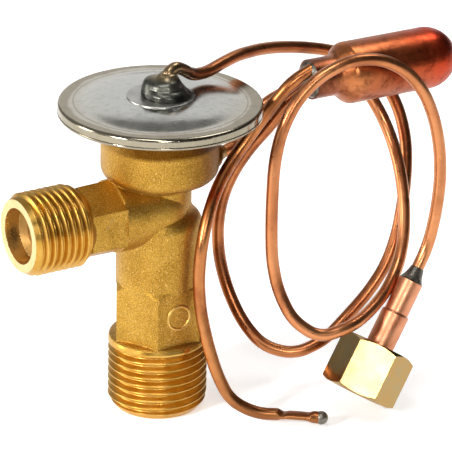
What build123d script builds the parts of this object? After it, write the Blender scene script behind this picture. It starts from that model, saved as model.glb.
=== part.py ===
from build123d import *
import math
import os

os.makedirs("parts", exist_ok=True)

# Externally equalised thermostatic expansion valve, automotive pattern.
# Millimetres. +Z is up. The origin is the centre of the outlet port's end face,
# the inlet branch points along -X and the equaliser boss along +X.

# ---------------------------------------------------------------- driving sizes
outlet_thread_r = 9.525        # 3/4-16 UNF major radius
outlet_thread_top = 13.9
outlet_face_r = 8.2
outlet_bore_r = 7.15
inlet_thread_r = 7.9375        # 5/8-18 UNF major radius
inlet_z = 40.9                 # height of the inlet axis
inlet_face_x = -30.2
inlet_face_r = 6.95
inlet_bore_r = 5.35
inlet_thread_end = -18.2

stem_hex_af = 15.875           # 5/8 in across flats
branch_hex_af = 12.85
barrel_r = 8.15
neck_r = 6.08
cross_r = 7.0
collar_r = 11.2
collar_bottom = 49.5
collar_top = 58.0

cavity_r = 6.2                 # spring chamber
cavity_top = 31.0
seat_r = 3.5
seat_top = 35.0
inlet_chamber_r = 4.0
rod_r = 0.80
rod_guide_r = 0.86
equaliser_chamber_r = 8.5
equaliser_chamber_floor = 51.5

boss_z = 49.2
boss_r = 2.6
boss_end = 12.25

tube_r = 1.19                  # 3/32 in capillary outside radius
tube_bore_r = 0.55

disc_r = 19.3                  # power element rim
rim_bottom = 59.85
rim_seam = 60.45
rim_top = 62.15
dome_top = 63.15

# half-section planes for turned profiles, away from the hexagon corners
lean = math.radians(15)
turned_plane = Plane(origin=(0, 0, 0), x_dir=(math.cos(lean), math.sin(lean), 0),
                     z_dir=(math.sin(lean), -math.cos(lean), 0))
branch_plane = Plane(origin=(0, 0, inlet_z), x_dir=(1, 0, 0), z_dir=(0, -math.cos(lean), math.sin(lean)))

# ---------------------------------------------------------------- valve body
# One hot-forged brass piece: threaded outlet, hexagon, barrel, neck and collar
# on the vertical axis; threaded inlet, hexagon and round web on the branch.
with BuildPart() as valve_body:
    # outlet thread blank with the rounded shoulder under the hexagon
    with BuildSketch(turned_plane) as outlet_profile:
        with BuildLine():
            Polyline(
                (0, 0), (outlet_face_r, 0), (outlet_thread_r, 1.75),
                (outlet_thread_r, outlet_thread_top), (9.35, 14.45), (9.0, 14.75),
                (7.5, 15.1), (0, 15.1), close=True,
            )
        make_face()
    revolve(axis=Axis.Z)
    # hexagon with its corners along X, bevelled into the round barrel
    with BuildSketch(Plane.XY.offset(14.0)) as stem_hex:
        RegularPolygon(radius=stem_hex_af / 2, side_count=6, major_radius=False)
    extrude(amount=12.2)
    with BuildSketch(turned_plane) as hex_bevel:
        with BuildLine():
            Polyline((barrel_r - 0.15, 26.3), (9.6, 24.3), (9.6, 26.6), (barrel_r - 0.15, 26.6), close=True)
        make_face()
    revolve(axis=Axis.Z, mode=Mode.SUBTRACT)
    # barrel, rounded shoulder and neck
    with BuildSketch(turned_plane) as barrel_profile:
        with BuildLine():
            l1 = Line((0, 25.5), (barrel_r, 25.5))
            l2 = Line(l1 @ 1, (barrel_r, 38.0))
            a1 = ThreePointArc(l2 @ 1, (7.85, 38.95), (7.3, 39.75))
            a2 = ThreePointArc(a1 @ 1, (6.55, 40.55), (neck_r, 41.6))
            l4 = Line(a2 @ 1, (neck_r, 50.5))
            l5 = Line(l4 @ 1, (0, 50.5))
            Line(l5 @ 1, (0, 25.5))
        make_face()
    revolve(axis=Axis.Z)
    # collar that carries the power element, with its bevelled underside
    with BuildSketch(turned_plane) as collar_profile:
        with BuildLine():
            c1 = Line((0, 45.3), (neck_r - 0.3, 45.3))
            c2 = Line(c1 @ 1, (9.3, 47.1))
            c3 = ThreePointArc(c2 @ 1, (10.6, 47.95), (collar_r, collar_bottom))
            c4 = Line(c3 @ 1, (collar_r, collar_top - 0.2))
            c5 = Line(c4 @ 1, (collar_r - 0.2, collar_top))
            c6 = Line(c5 @ 1, (0, collar_top))
            Line(c6 @ 1, (0, 45.3))
        make_face()
    revolve(axis=Axis.Z)
    # round web along the branch, closed by a dome inside the neck
    with BuildSketch(Plane((-1.5, 0, inlet_z), x_dir=(0, 1, 0), z_dir=(-1, 0, 0))) as web_round:
        Circle(cross_r)
    extrude(amount=9.1)
    with BuildSketch(Plane(origin=(-1.5, 0, inlet_z), x_dir=turned_plane.x_dir, z_dir=turned_plane.z_dir)) as web_dome:
        with BuildLine():
            CenterArc((0, 0), cross_r, -90, 180)
            Line((0, cross_r), (0, -cross_r))
        make_face()
    revolve(axis=Axis((-1.5, 0, inlet_z), (0, 0, 1)))
    # branch hexagon, corners up and down, with the forging draft
    with BuildSketch(Plane((inlet_thread_end + 0.4, 0, inlet_z), x_dir=(0, 1, 0), z_dir=(1, 0, 0))) as branch_hex:
        RegularPolygon(radius=branch_hex_af / 2 - 0.08, side_count=6, major_radius=False, rotation=30)
    extrude(amount=7.4, taper=-1.0)
    # inlet thread blank with its end chamfers
    with BuildSketch(branch_plane) as inlet_profile:
        with BuildLine():
            Polyline(
                (inlet_face_x, 0), (inlet_face_x, inlet_face_r),
                (inlet_face_x + 1.6, inlet_thread_r),
                (inlet_thread_end - 1.0, inlet_thread_r),
                (inlet_thread_end + 0.15, 7.0), (inlet_thread_end + 1.1, 6.35),
                (inlet_thread_end + 1.1, 0), close=True,
            )
        make_face()
    revolve(axis=Axis((0, 0, inlet_z), (1, 0, 0)))
    # equaliser boss
    with BuildSketch(Plane((9.0, 0, boss_z), x_dir=(0, 1, 0), z_dir=(1, 0, 0))) as boss_round:
        Circle(boss_r)
    extrude(amount=boss_end - 9.0)
    # outlet bore and spring chamber
    with BuildSketch(turned_plane) as cavity_profile:
        with BuildLine():
            Polyline(
                (0, -1), (outlet_bore_r, -1), (outlet_bore_r, 3.0), (cavity_r, 3.95),
                (cavity_r, cavity_top), (seat_r, cavity_top), (seat_r, seat_top),
                (2.0, seat_top), (2.0, inlet_z), (rod_guide_r, inlet_z),
                (rod_guide_r, 49.7), (2.2, 49.7), (2.2, equaliser_chamber_floor - 0.6),
                (3.2, equaliser_chamber_floor - 0.6), (3.2, equaliser_chamber_floor),
                (equaliser_chamber_r, equaliser_chamber_floor),
                (equaliser_chamber_r, collar_top + 1), (0, collar_top + 1), close=True,
            )
        make_face()
    revolve(axis=Axis.Z, mode=Mode.SUBTRACT)
    # inlet bore: counterbore, cone and chamber
    with BuildSketch(branch_plane) as inlet_bore_profile:
        with BuildLine():
            Polyline(
                (inlet_face_x - 1, 0), (inlet_face_x - 1, inlet_bore_r),
                (inlet_face_x + 3.0, inlet_bore_r),
                (inlet_face_x + 4.1, inlet_chamber_r),
                (2.6, inlet_chamber_r), (3.6, 0), close=True,
            )
        make_face()
    revolve(axis=Axis((0, 0, inlet_z), (1, 0, 0)), mode=Mode.SUBTRACT)
    # equaliser passage: socket for the tube, cross drill and riser
    with BuildSketch(Plane((5.6, 0, boss_z), x_dir=(0, 1, 0), z_dir=(1, 0, 0))) as cross_drill:
        Circle(0.9)
    extrude(amount=8.0, mode=Mode.SUBTRACT)
    with BuildSketch(Plane((10.6, 0, boss_z), x_dir=(0, 1, 0), z_dir=(1, 0, 0))) as tube_socket:
        Circle(tube_r + 0.02)
    extrude(amount=3.0, mode=Mode.SUBTRACT)
    with BuildSketch(Plane.XY.offset(boss_z)) as riser:
        with Locations((6.6, 0)):
            Circle(0.75)
    extrude(amount=3.0, mode=Mode.SUBTRACT)
valve_body.part.label = "valve_body"
export_step(valve_body.part, "parts/valve_body.step")
print("valve_body", valve_body.part.volume, len(valve_body.part.solids()), valve_body.part.is_valid)

# ---------------------------------------------------------------- power element
with BuildPart() as head_gasket:
    with BuildSketch(Plane.XY.offset(collar_top)) as gasket_ring:
        Circle(10.9)
        Circle(8.7, mode=Mode.SUBTRACT)
    extrude(amount=0.4)
head_gasket.part.label = "head_gasket"
export_step(head_gasket.part, "parts/head_gasket.step")

with BuildPart() as head_lower_cover:
    with BuildSketch(Plane.XZ) as lower_profile:
        with BuildLine():
            Polyline(
                (7.6, 54.5), (8.2, 54.5), (8.45, 54.8), (8.45, 58.4), (12.0, 58.4),
                (14.6, rim_bottom), (19.1, rim_bottom), (19.35, rim_bottom + 0.2),
                (19.35, rim_seam - 0.1), (19.2, rim_seam), (14.3, rim_seam),
                (11.75, 59.3), (7.6, 59.3), close=True,
            )
        make_face()
    revolve(axis=Axis.Z)
head_lower_cover.part.label = "head_lower_cover"
export_step(head_lower_cover.part, "parts/head_lower_cover.step")

# thin spring-steel diaphragm with two concentric ripples
with BuildPart() as diaphragm:
    with BuildSketch(Plane.XZ) as diaphragm_profile:
        with BuildLine():
            Polyline(
                (0, 60.45), (8.6, 60.45), (9.6, 60.7), (10.6, 60.7), (11.6, 60.45),
                (12.6, 60.7), (13.6, 60.7), (14.6, 60.45), (18.3, 60.45),
                (18.3, 60.65), (14.68, 60.65), (13.68, 60.9), (12.52, 60.9),
                (11.6, 60.67), (10.68, 60.9), (9.52, 60.9), (8.52, 60.65), (0, 60.65),
                close=True,
            )
        make_face()
    revolve(axis=Axis.Z)
diaphragm.part.label = "diaphragm"
export_step(diaphragm.part, "parts/diaphragm.step")

capillary_hole = (1.25, -0.1)
crown = dome_top - rim_top
with BuildPart() as head_upper_cover:
    with BuildSketch(Plane.XZ) as upper_profile:
        with BuildLine():
            u1 = Line((0, 62.3), (0, dome_top))
            u2 = Line(u1 @ 1, (6.8, dome_top))
            u5 = Spline(
                u2 @ 1, (10.6, dome_top - 0.2 * crown), (14.0, dome_top - 0.66 * crown), (16.5, rim_top),
                tangents=[(1, 0), (1, 0)],
            )
            u6 = Line(u5 @ 1, (18.65, rim_top))
            u7 = ThreePointArc(u6 @ 1, (19.11, 61.96), (disc_r, 61.5))
            u8 = Line(u7 @ 1, (disc_r, 60.5))
            u9 = Line(u8 @ 1, (18.4, 60.5))
            u10 = Line(u9 @ 1, (18.4, 60.68))
            u11 = Line(u10 @ 1, (16.4, 60.68))
            u12 = Line(u11 @ 1, (16.1, 61.4))
            u13 = Line(u12 @ 1, (13.4, 61.7))
            u14 = Line(u13 @ 1, (6.6, 62.3))
            Line(u14 @ 1, (0, 62.3))
        make_face()
    revolve(axis=Axis.Z)
    with BuildSketch(Plane.XY.offset(61.5)) as upper_hole:
        with Locations(capillary_hole):
            Circle(tube_r + 0.03)
    extrude(amount=3.0, mode=Mode.SUBTRACT)
head_upper_cover.part.label = "head_upper_cover"
export_step(head_upper_cover.part, "parts/head_upper_cover.step")

with BuildPart() as charge_spud:
    with BuildSketch(Plane.XY.offset(dome_top)) as spud_ring:
        Circle(6.4)
        with Locations(capillary_hole):
            Circle(tube_r + 0.03, mode=Mode.SUBTRACT)
    extrude(amount=0.25)
    fillet(charge_spud.edges().filter_by(GeomType.CIRCLE).group_by(SortBy.RADIUS)[-1].sort_by(Axis.Z)[-1:], radius=0.15)
charge_spud.part.label = "charge_spud"
export_step(charge_spud.part, "parts/charge_spud.step")

with BuildPart() as head_solder:
    with BuildSketch(Plane(origin=(1.3, -0.45, 0), x_dir=(1, 0, 0), z_dir=(0, -1, 0))) as solder_profile:
        with BuildLine():
            s1 = Line((0, dome_top + 0.25), (5.05, dome_top + 0.25))
            s2 = Spline(
                s1 @ 1, (4.7, 64.1), (4.0, 64.85), (3.1, 65.45), (2.35, 66.05), (1.95, 66.75), (1.75, 67.2), (0, 67.4),
            )
            Line(s2 @ 1, (0, dome_top + 0.25))
        make_face()
    revolve(axis=Axis((1.3, -0.45, 0), (0, 0, 1)))
head_solder.part.label = "head_solder"
export_step(head_solder.part, "parts/head_solder.step")

# ---------------------------------------------------------------- moving stem
with BuildPart() as pressure_plate:
    with BuildSketch(Plane.XZ) as plate_profile:
        with BuildLine():
            Polyline(
                (0, 57.6), (2.8, 57.6), (3.0, 57.8), (3.0, 59.2), (7.05, 59.2), (7.3, 59.45),
                (7.3, 60.15), (7.05, 60.4), (0, 60.4), close=True,
            )
        make_face()
    revolve(axis=Axis.Z)
pressure_plate.part.label = "pressure_plate"
export_step(pressure_plate.part, "parts/pressure_plate.step")

ball_r = 1.90
ball_z = 29.64
with BuildPart() as push_rod:
    with BuildSketch(Plane.XZ) as rod_profile:
        with BuildLine():
            Polyline(
                (0, ball_z + ball_r + 0.02), (0.6, ball_z + ball_r + 0.02),
                (rod_r, ball_z + ball_r + 0.22), (rod_r, 57.6), (0, 57.6), close=True,
            )
        make_face()
    revolve(axis=Axis.Z)
push_rod.part.label = "push_rod"
export_step(push_rod.part, "parts/push_rod.step")

with BuildPart() as valve_ball:
    with BuildSketch(Plane.XZ) as ball_profile:
        with BuildLine():
            CenterArc((0, ball_z), ball_r, -90, 180)
            Line((0, ball_z + ball_r), (0, ball_z - ball_r))
        make_face()
    revolve(axis=Axis.Z)
valve_ball.part.label = "valve_ball"
export_step(valve_ball.part, "parts/valve_ball.step")

with BuildPart() as ball_carrier:
    with BuildSketch(Plane.XZ) as carrier_profile:
        with BuildLine():
            Polyline(
                (0, 24.0), (3.1, 24.0), (3.4, 24.3), (3.4, 26.2), (5.0, 26.2), (5.3, 26.5),
                (5.3, 27.7), (5.0, 28.0), (2.4, 28.0), (2.2, 29.0), (0, 29.0), close=True,
            )
        make_face()
    revolve(axis=Axis.Z)
    with BuildSketch(Plane.XZ) as socket_profile:
        with BuildLine():
            CenterArc((0, ball_z), ball_r + 0.01, -90, 180)
            Line((0, ball_z + ball_r + 0.01), (0, ball_z - ball_r - 0.01))
        make_face()
    revolve(axis=Axis.Z, mode=Mode.SUBTRACT)
ball_carrier.part.label = "ball_carrier"
export_step(ball_carrier.part, "parts/ball_carrier.step")

# ---------------------------------------------------------------- seals and seat
with BuildPart() as rod_o_ring:
    with BuildSketch(Plane.XZ) as o_ring_section:
        with Locations((1.48, 50.3)):
            Circle(0.59)
    revolve(axis=Axis.Z)
rod_o_ring.part.label = "rod_o_ring"
export_step(rod_o_ring.part, "parts/rod_o_ring.step")

with BuildPart() as packing_retainer:
    with BuildSketch(Plane.XY.offset(equaliser_chamber_floor - 0.58)) as retainer_ring:
        Circle(3.18)
        Circle(1.0, mode=Mode.SUBTRACT)
    extrude(amount=0.58)
packing_retainer.part.label = "packing_retainer"
export_step(packing_retainer.part, "parts/packing_retainer.step")

with BuildPart() as orifice_seat:
    with BuildSketch(Plane.XZ) as seat_profile:
        with BuildLine():
            Polyline(
                (1.35, cavity_top), (seat_r - 0.25, cavity_top), (seat_r, cavity_top + 0.25),
                (seat_r, seat_top), (2.0, seat_top), (1.35, seat_top - 0.65), close=True,
            )
        make_face()
    revolve(axis=Axis.Z)
orifice_seat.part.label = "orifice_seat"
export_step(orifice_seat.part, "parts/orifice_seat.step")

# ---------------------------------------------------------------- superheat adjustment
spring_r = 4.6
spring_wire_r = 0.6
spring_bottom = 11.0
spring_top = 26.2
spring_turns = 6.5
with BuildPart() as superheat_spring:
    with BuildLine() as spring_path:
        Helix(
            pitch=(spring_top - spring_bottom - 0.9) / spring_turns,
            height=spring_top - spring_bottom - 0.9,
            radius=spring_r, center=(0, 0, spring_bottom + 0.45),
        )
    with BuildSketch(Plane(origin=spring_path.line @ 0, z_dir=spring_path.line % 0)) as spring_section:
        Circle(spring_wire_r)
    sweep(is_frenet=True)
    # ends ground flat
    with BuildSketch(Plane.XY.offset(spring_bottom)) as ground_disc:
        Circle(8)
    extrude(amount=spring_top - spring_bottom, mode=Mode.INTERSECT)
superheat_spring.part.label = "superheat_spring"
export_step(superheat_spring.part, "parts/superheat_spring.step")
print("superheat_spring", superheat_spring.part.volume,
      math.pi * spring_wire_r ** 2 * sum(e.length for e in spring_path.edges()), len(superheat_spring.part.solids()))

with BuildPart() as spring_seat:
    with BuildSketch(Plane.XZ) as spring_seat_profile:
        with BuildLine():
            Polyline(
                (1.5, 9.22), (5.6, 9.22), (5.85, 9.45), (5.85, 10.8), (5.65, 11.0), (3.5, 11.0),
                (3.3, 12.6), (3.0, 12.9), (1.5, 12.9), close=True,
            )
        make_face()
    revolve(axis=Axis.Z)
spring_seat.part.label = "spring_seat"
export_step(spring_seat.part, "parts/spring_seat.step")

screw_r = 6.13
screw_bottom = 5.0
screw_top = 9.2
with BuildPart() as adjusting_screw:
    with BuildSketch(Plane.XZ) as screw_profile:
        with BuildLine():
            Polyline(
                (0, screw_bottom), (screw_r - 0.4, screw_bottom), (screw_r, screw_bottom + 0.4),
                (screw_r, screw_top - 0.4), (screw_r - 0.4, screw_top), (0, screw_top), close=True,
            )
        make_face()
    revolve(axis=Axis.Z)
    with BuildSketch(Plane.XY.offset(screw_bottom - 1)) as screw_socket:
        RegularPolygon(radius=2.52, side_count=6, major_radius=False)
        with PolarLocations(4.4, 4, start_angle=45):
            Circle(1.0)
    extrude(amount=screw_top - screw_bottom + 2, mode=Mode.SUBTRACT)
adjusting_screw.part.label = "adjusting_screw"
export_step(adjusting_screw.part, "parts/adjusting_screw.step")

# ---------------------------------------------------------------- inlet strainer
with BuildPart() as inlet_strainer:
    with BuildSketch(Plane.XZ) as strainer_profile:
        with BuildLine():
            Polyline(
                (-25.2, inlet_z + 3.3), (-11.0, inlet_z + 3.3), (-10.0, inlet_z + 2.5), (-10.0, inlet_z),
                (-10.3, inlet_z), (-10.3, inlet_z + 2.4), (-11.1, inlet_z + 3.0),
                (-25.2, inlet_z + 3.0), close=True,
            )
        make_face()
    revolve(axis=Axis((0, 0, inlet_z), (1, 0, 0)))
    for row in range(6):
        with BuildSketch(Plane.XY.offset(inlet_z - 4)) as strainer_row:
            with Locations((-12.6 - 2.2 * row, 0)):
                Circle(0.55)
        extrude(amount=8, mode=Mode.SUBTRACT)
        with BuildSketch(Plane.XZ.offset(-4)) as strainer_cross:
            with Locations((-12.6 - 2.2 * row, inlet_z)):
                Circle(0.55)
        extrude(amount=8, mode=Mode.SUBTRACT)
    for tilt in (45, 135):
        for row in range(5):
            with BuildSketch(
                Plane(origin=(-13.7 - 2.2 * row, 0, inlet_z), x_dir=(1, 0, 0),
                      z_dir=(0, math.cos(math.radians(tilt)), math.sin(math.radians(tilt)))).offset(-4)
            ) as strainer_lean:
                Circle(0.55)
            extrude(amount=8, mode=Mode.SUBTRACT)
inlet_strainer.part.label = "inlet_strainer"
export_step(inlet_strainer.part, "parts/inlet_strainer.step")

with BuildPart() as strainer_ring:
    with BuildSketch(Plane.XZ) as strainer_ring_profile:
        with BuildLine():
            Polyline(
                (-26.35, inlet_z + 2.6), (-26.35, inlet_z + 3.7), (-26.0, inlet_z + 3.97), (-24.6, inlet_z + 3.97),
                (-24.6, inlet_z + 3.3), (-25.2, inlet_z + 3.3), (-25.2, inlet_z + 2.6), close=True,
            )
        make_face()
    revolve(axis=Axis((0, 0, inlet_z), (1, 0, 0)))
strainer_ring.part.label = "strainer_ring"
export_step(strainer_ring.part, "parts/strainer_ring.step")


# ---------------------------------------------------------------- thin copper tubes
# Each route is a list of straight runs; every corner gets a tangent arc that
# takes 0.45 of the shorter neighbouring run.
def corner_radii(points, share=0.45, largest=260.0):
    radii = []
    for i in range(1, len(points) - 1):
        before = Vector(*points[i]) - Vector(*points[i - 1])
        after = Vector(*points[i + 1]) - Vector(*points[i])
        turn = math.radians(before.get_angle(after))
        reach = share * min(before.length, after.length)
        radii.append(round(min(largest, reach / math.tan(turn / 2)), 3))
    return radii


capillary_route = [
    (1.25, -0.1, 61.6), (1.2, -0.07, 65.0), (1.45, 0.0, 67.35), (3.3, 0.43, 68.2), (5.5, 1.0, 67.1),
    (7.9, 1.85, 65.3),
    (11.6, 3.1, 64.65), (17.1, 5.3, 65.1), (21.17, 6.94, 65.2), (27.33, 9.24, 64.51),
    (33.22, 10.95, 63.33), (39.25, 11.95, 61.82), (45.41, 12.14, 60.05), (50.92, 9.7, 58.01),
    (54.17, 5.73, 54.29), (55.26, 1.75, 49.25), (54.64, -1.89, 44.08), (52.82, -5.0, 39.04),
    (50.45, -7.65, 33.82), (47.86, -9.78, 28.39), (44.64, -11.09, 23.15), (40.54, -11.42, 18.43),
    (35.74, -11.35, 14.28), (30.54, -11.79, 10.64), (24.44, -10.57, 8.57), (19.71, -6.58, 9.76),
    (17.68, -2.0, 13.72), (16.67, 1.86, 19.02), (16.13, 4.29, 24.87), (16.2, 5.34, 31.04),
    (16.93, 4.96, 37.23), (18.35, 3.21, 43.15), (20.39, 0.65, 48.65), (23.0, -2.15, 53.54),
    (25.54, -4.61, 58.85), (29.65, -6.96, 62.82),
]
capillary_radii = corner_radii(capillary_route)
with BuildPart() as capillary_tube:
    with BuildLine() as capillary_path:
        FilletPolyline(*capillary_route, radius=capillary_radii)
    with BuildSketch(Plane(origin=capillary_path.line @ 0, z_dir=capillary_path.line % 0)) as capillary_section:
        Circle(tube_r)
        Circle(tube_bore_r, mode=Mode.SUBTRACT)
    sweep()
capillary_tube.part.label = "capillary_tube"
export_step(capillary_tube.part, "parts/capillary_tube.step")
tube_section = math.pi * (tube_r ** 2 - tube_bore_r ** 2)
print("capillary_tube radii", capillary_radii)
print("capillary_tube", capillary_tube.part.volume, tube_section * sum(e.length for e in capillary_path.edges()),
      len(capillary_tube.part.solids()), capillary_tube.part.is_valid, sum(e.length for e in capillary_path.edges()))

fill_route = [
    (28.9, -7.14, 65.69), (24.94, -6.42, 63.62), (21.07, -5.27, 58.9), (17.75, -4.04, 53.7),
    (13.64, -4.02, 49.18), (9.31, -5.75, 45.06), (5.65, -8.35, 40.65), (3.47, -9.87, 35.21),
    (2.91, -9.98, 28.79), (3.02, -10.72, 22.67), (3.6, -12.28, 16.91), (4.77, -13.86, 10.79),
    (7.02, -15.4, 4.96), (11.45, -17.92, 2.08), (17.01, -21.22, 1.96), (21.43, -25.29, 1.97),
]
fill_radii = corner_radii(fill_route)
with BuildPart() as fill_tube:
    with BuildLine() as fill_path:
        FilletPolyline(*fill_route, radius=fill_radii)
    with BuildSketch(Plane(origin=fill_path.line @ 0, z_dir=fill_path.line % 0)) as fill_section:
        Circle(tube_r)
        Circle(tube_bore_r, mode=Mode.SUBTRACT)
    sweep()
fill_tube.part.label = "fill_tube"
export_step(fill_tube.part, "parts/fill_tube.step")
print("fill_tube radii", fill_radii)
print("fill_tube", fill_tube.part.volume, tube_section * sum(e.length for e in fill_path.edges()),
      len(fill_tube.part.solids()), fill_tube.part.is_valid, sum(e.length for e in fill_path.edges()))

# flare nut frame: base point on its open face and the direction of its axis
nut_base = Vector(30.4346, -23.6980, 4.2433)
nut_axis = Vector(0.568137, 0.121791, 0.813871).normalized()
nut_e2 = nut_axis.cross(Vector(0.678213, -0.629444, -0.379246)).normalized()
nut_e1 = nut_e2.cross(nut_axis)
nut_turn = math.radians(-2.6)
nut_x = nut_e1 * math.cos(nut_turn) + nut_e2 * math.sin(nut_turn)
stub_bend = nut_base + nut_axis * 31.5
stub_end = nut_base + nut_axis * 21.1

equalizer_route = [
    (10.8, 0, 49.2), (14.6, 0, 49.2), (17.21, 0.57, 50.01), (20.13, 0.81, 53.2), (23.45, 1.0, 56.79),
    (29.7, 1.7, 58.45), (35.82, 2.16, 59.87), (41.97, 2.73, 59.16), (47.33, 2.93, 55.54),
    (50.04, 0.63, 50.22), (50.64, -3.06, 45.32), (49.94, -7.12, 40.73), (48.73, -10.7, 35.61),
    (46.93, -13.7, 30.32), (44.09, -16.37, 25.56), (39.81, -18.89, 22.0), (34.41, -21.32, 19.79),
    (28.65, -24.05, 19.04), (22.34, -22.55, 17.43), (18.2, -19.43, 20.74), (16.17, -17.09, 26.59),
    (15.51, -15.76, 32.47), (15.71, -14.99, 38.61), (16.14, -14.32, 44.89), (16.87, -13.64, 51.13),
    (18.58, -13.12, 57.05), (21.71, -12.9, 62.3), (26.3, -13.16, 66.42), (32.33, -14.03, 68.93),
    (38.5, -15.22, 68.81), (43.83, -16.42, 65.96), (47.69, -17.36, 61.15), (49.95, -18.1, 55.18),
    (50.84, -18.95, 49.03), (50.62, -19.8, 42.98), (49.54, -20.36, 36.89),
    (stub_bend.X, stub_bend.Y, stub_bend.Z), (stub_end.X, stub_end.Y, stub_end.Z),
]
equalizer_radii = corner_radii(equalizer_route)
with BuildPart() as equalizer_tube:
    with BuildLine() as equalizer_path:
        FilletPolyline(*equalizer_route, radius=equalizer_radii)
    with BuildSketch(Plane(origin=equalizer_path.line @ 0, z_dir=equalizer_path.line % 0)) as equalizer_section:
        Circle(tube_r)
        Circle(tube_bore_r, mode=Mode.SUBTRACT)
    sweep()
equalizer_tube.part.label = "equalizer_tube"
export_step(equalizer_tube.part, "parts/equalizer_tube.step")
print("equalizer_tube radii", equalizer_radii)
print("equalizer_tube", equalizer_tube.part.volume, tube_section * sum(e.length for e in equalizer_path.edges()),
      len(equalizer_tube.part.solids()), equalizer_tube.part.is_valid, sum(e.length for e in equalizer_path.edges()))

# ---------------------------------------------------------------- sensing bulb
bulb_tip = Vector(28.695, -6.600, 63.401)
bulb_dir = Vector(0.99988, -0.0134, -0.0074)
bulb_plane = Plane(origin=bulb_tip, x_dir=bulb_dir, z_dir=bulb_dir.cross(Vector(0, 0, 1)))
bulb_axis = Axis(bulb_tip, bulb_plane.x_dir)
bulb_r = 5.95
bulb_neck_r = 3.85
bulb_wall = 0.7
bulb_seam = 11.0
bulb_length = 32.3
with BuildPart() as bulb_neck:
    with BuildSketch(bulb_plane) as neck_profile:
        with BuildLine():
            n1 = Line((0, bulb_neck_r - bulb_wall), (0, bulb_neck_r))
            n2 = Line(n1 @ 1, (4.6, bulb_neck_r))
            n3 = ThreePointArc(n2 @ 1, (5.35, 4.0), (5.9, 4.42))
            n4 = Line(n3 @ 1, (7.1, 5.5))
            n5 = ThreePointArc(n4 @ 1, (7.75, 5.84), (8.5, bulb_r))
            n6 = Line(n5 @ 1, (bulb_seam, bulb_r))
            n7 = Line(n6 @ 1, (bulb_seam, bulb_r - bulb_wall))
            n8 = Line(n7 @ 1, (8.4, bulb_r - bulb_wall))
            n9 = Line(n8 @ 1, (7.4, 4.8))
            n10 = Line(n9 @ 1, (5.8, bulb_neck_r - bulb_wall + 0.25))
            n11 = Line(n10 @ 1, (5.0, bulb_neck_r - bulb_wall))
            Line(n11 @ 1, (0, bulb_neck_r - bulb_wall))
        make_face()
    revolve(axis=bulb_axis)
bulb_neck.part.label = "bulb_neck"
export_step(bulb_neck.part, "parts/bulb_neck.step")

with BuildPart() as bulb_shell:
    with BuildSketch(bulb_plane) as shell_profile:
        with BuildLine():
            b1 = Line((bulb_seam, bulb_r - bulb_wall), (bulb_seam, bulb_r))
            b2 = Line(b1 @ 1, (25.2, bulb_r))
            b3 = ThreePointArc(b2 @ 1, (29.9, 4.5), (31.9, 1.6))
            b4 = Line(b3 @ 1, (bulb_length, 0.8))
            b5 = Line(b4 @ 1, (bulb_length, 0))
            b6 = Line(b5 @ 1, (bulb_length - bulb_wall, 0))
            b7 = Line(b6 @ 1, (bulb_length - bulb_wall, 1.2))
            b8 = ThreePointArc(b7 @ 1, (29.4, 3.9), (25.2, bulb_r - bulb_wall))
            Line(b8 @ 1, (bulb_seam, bulb_r - bulb_wall))
        make_face()
    revolve(axis=bulb_axis)
bulb_shell.part.label = "bulb_shell"
export_step(bulb_shell.part, "parts/bulb_shell.step")

with BuildPart() as bulb_solder:
    with BuildSketch(bulb_plane) as bulb_solder_profile:
        with BuildLine():
            Polyline(
                (-0.6, 0), (-0.6, 2.7), (-0.3, 3.3), (0.0, 3.6), (0.0, bulb_neck_r - bulb_wall),
                (3.2, bulb_neck_r - bulb_wall), (3.2, 0), close=True,
            )
        make_face()
    revolve(axis=bulb_axis)
bulb_solder.part.label = "bulb_solder"
export_step(bulb_solder.part, "parts/bulb_solder.step")

# ---------------------------------------------------------------- solder and braze beads
with BuildPart() as fill_tip_solder:
    with BuildSketch(Plane(origin=(21.539, -25.294, 1.957), x_dir=(1, 0, 0), z_dir=(0, -1, 0))) as tip_profile:
        with BuildLine():
            CenterArc((0, 0), 1.31, -90, 180)
            Line((0, 1.31), (0, -1.31))
        make_face()
    revolve(axis=Axis((21.539, -25.294, 1.957), (0, 0, 1)))
fill_tip_solder.part.label = "fill_tip_solder"
export_step(fill_tip_solder.part, "parts/fill_tip_solder.step")

with BuildPart() as equalizer_braze:
    with BuildSketch(Plane.XZ) as braze_profile:
        with BuildLine():
            Polyline(
                (boss_end, boss_z + tube_r), (boss_end, boss_z + 2.3), (boss_end + 0.35, boss_z + 2.2),
                (boss_end + 0.7, boss_z + 1.8), (boss_end + 1.4, boss_z + 1.4),
                (boss_end + 1.8, boss_z + tube_r), close=True,
            )
        make_face()
    revolve(axis=Axis((0, 0, boss_z), (1, 0, 0)))
equalizer_braze.part.label = "equalizer_braze"
export_step(equalizer_braze.part, "parts/equalizer_braze.step")

# ---------------------------------------------------------------- flare connection
nut_side = nut_axis.cross(nut_x)
section_x = nut_x * math.cos(lean) + nut_side * math.sin(lean)
stub_plane = Plane(origin=nut_base, x_dir=section_x, z_dir=section_x.cross(nut_axis))
stub_axis = Axis(nut_base, stub_plane.y_dir)
with BuildPart() as reducer_stub:
    with BuildSketch(stub_plane) as stub_profile:
        with BuildLine():
            Polyline(
                (3.0, 6.65), (3.55, 6.74), (3.75, 6.94), (2.75, 7.94), (2.75, 17.0), (2.62, 17.3),
                (2.38, 17.5), (2.38, 24.05), (1.21, 24.05), (1.21, 21.0), (1.6, 21.0), (1.6, 17.2),
                (1.95, 16.7), (1.95, 7.7), close=True,
            )
        make_face()
    revolve(axis=stub_axis)
reducer_stub.part.label = "reducer_stub"
export_step(reducer_stub.part, "parts/reducer_stub.step")

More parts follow.
